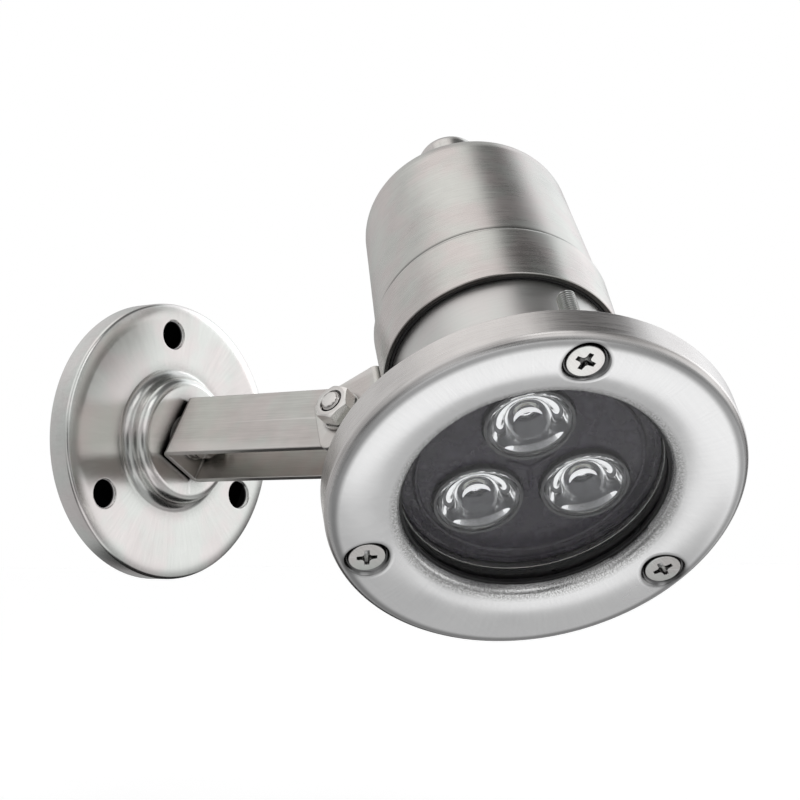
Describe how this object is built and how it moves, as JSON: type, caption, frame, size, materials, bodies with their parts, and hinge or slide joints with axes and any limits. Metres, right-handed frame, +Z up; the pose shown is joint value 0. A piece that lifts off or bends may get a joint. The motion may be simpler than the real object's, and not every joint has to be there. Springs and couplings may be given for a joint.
{
  "type": "underwater pond light",
  "caption": "Stainless underwater spotlight: round lamp can with a screwed bezel ring and glass front, tilting on a channel arm that swivels on a round wall flange.",
  "frame": {"origin": "centre of the wall flange's back rim, on the wall plane, where the axis of its three fixing holes meets the wall", "axes": "-Y points straight out of the wall along the flange's axis, +Z is up through the single top fixing hole, +X completes the right-handed frame; the light is stored swivelled 32 degrees and tilted as in its picture"},
  "size_m": [0.1267, 0.2005, 0.1501],
  "materials": {
    "brushed_sheet": "brushed, fine circumferential or lengthwise grain",
    "satin_bezel": "satin, nearly polished",
    "fastener_steel": "bright, cold-formed",
    "gland_steel": "turned",
    "fibre": "matt",
    "black_rubber": "matt",
    "clear_glass": "clear, toughened",
    "clear_lens": "clear moulded acrylic",
    "black_plastic": "semi-gloss",
    "phosphor": "silicone dome",
    "white_board": "solder mask on aluminium",
    "aluminium": "machined",
    "wire_red": "insulation",
    "green_board": "solder mask",
    "copper_wire": "enamelled",
    "blue_sleeve": "shrink sleeve",
    "green_plastic": "moulded"
  },
  "bodies": {
    "wall_base": {"wall_flange": "brushed_sheet", "swivel_bolt": "fastener_steel", "swivel_liner": "fibre", "swivel_washer": "fastener_steel", "swivel_spring_washer": "fastener_steel", "swivel_nut": "fastener_steel"},
    "arm": {"arm_bracket": "brushed_sheet", "tilt_bolt": "fastener_steel", "tilt_washers": "fastener_steel", "tilt_nut": "fastener_steel"},
    "lamp": {"lamp_bracket": "brushed_sheet", "bezel": "satin_bezel", "bezel_screws": "fastener_steel", "front_gasket": "black_rubber", "glass": "clear_glass", "rear_gasket": "black_rubber", "housing_cup": "brushed_sheet", "housing_neck": "brushed_sheet", "lens_plate": "black_plastic", "lens_cups": "black_plastic", "tir_lenses": "clear_lens", "led_emitters": "phosphor", "led_board": "white_board", "board_screws": "fastener_steel", "heat_sink": "aluminium", "lamp_leads": "wire_red", "driver_bracket": "aluminium", "driver_board": "green_board", "driver_coil": "copper_wire", "driver_capacitors": "blue_sleeve", "driver_chips": "black_plastic", "terminal_block": "green_plastic", "can_o_rings": "black_rubber", "rear_can": "brushed_sheet", "gland_seal": "black_rubber", "gland_body": "gland_steel", "gland_locknut": "gland_steel", "gland_bush": "black_rubber", "gland_cap": "gland_steel"}
  },
  "joints": [
    {"name": "base_swivel", "type": "hinge", "parent": "wall_base", "child": "arm", "pos_m": [0, 0, 0], "axis": [0, -1, 0], "continuous": true},
    {"name": "lamp_tilt", "type": "hinge", "parent": "arm", "child": "lamp", "pos_m": [0, -0.085, 0], "axis": [-0.848, 0, 0.5299], "range_deg": [-90, 33]}
  ]
}
